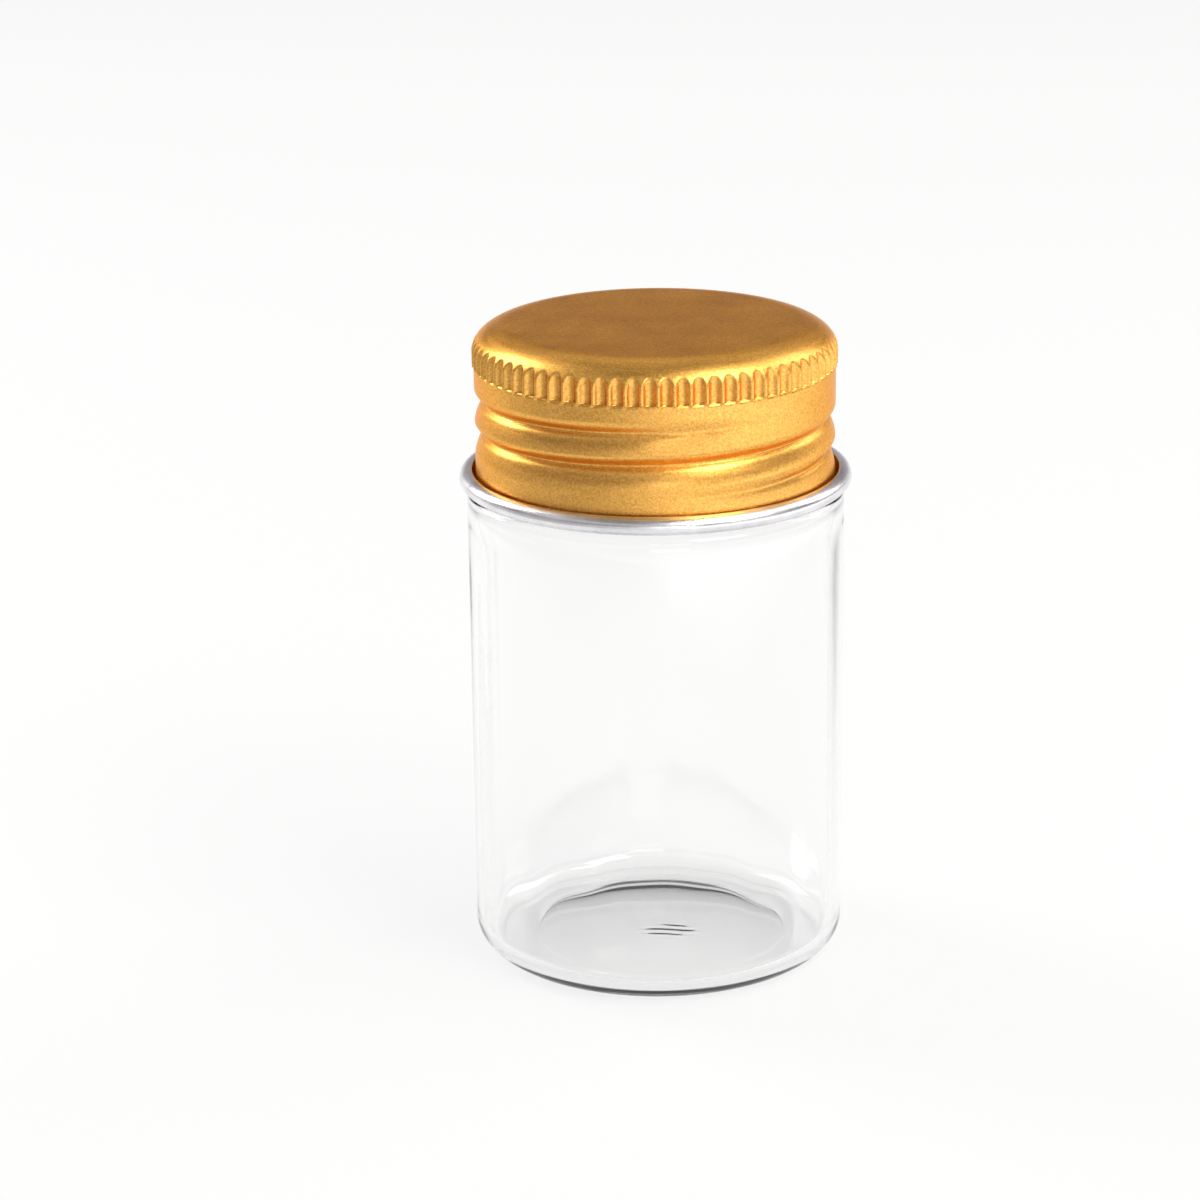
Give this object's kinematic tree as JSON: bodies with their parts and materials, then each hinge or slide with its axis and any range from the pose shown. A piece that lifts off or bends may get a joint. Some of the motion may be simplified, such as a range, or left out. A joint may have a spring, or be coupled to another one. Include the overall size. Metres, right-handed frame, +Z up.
{
  "type": "screw-capped sample vial",
  "caption": "Small clear glass tube vial with a gold sheet-metal screw cap, knurled rim, curled foot and soft inner liner, for keeping fine samples.",
  "frame": {"origin": "centre of the face that the vial stands on", "axes": "+Z up along the vial's axis, -Y towards the front"},
  "size_m": [0.0312, 0.0312, 0.0518],
  "materials": {
    "clear_glass": "clear, polished",
    "gold_aluminium": "gold lacquered outside, satin, with bare silver inside and curl",
    "white_foam": "white foamed polyethylene"
  },
  "bodies": {
    "vial": {"glass_vial": "clear_glass"},
    "liner": {"sealing_liner": "white_foam"},
    "cap": {"cap_shell": "gold_aluminium"}
  },
  "joints": [
    {"name": "cap_lift", "type": "slide", "parent": "vial", "child": "liner", "axis": [0, 0, 1], "range_m": [0, 0.013]},
    {"name": "cap_turn", "type": "hinge", "parent": "liner", "child": "cap", "pos_m": [0, 0, 0], "axis": [0, 0, 1], "range_deg": [0, 1800]}
  ],
  "couplings": [
    {"joint": "cap_lift", "follows": "cap_turn", "m_per_rad": 0.0004138}
  ]
}
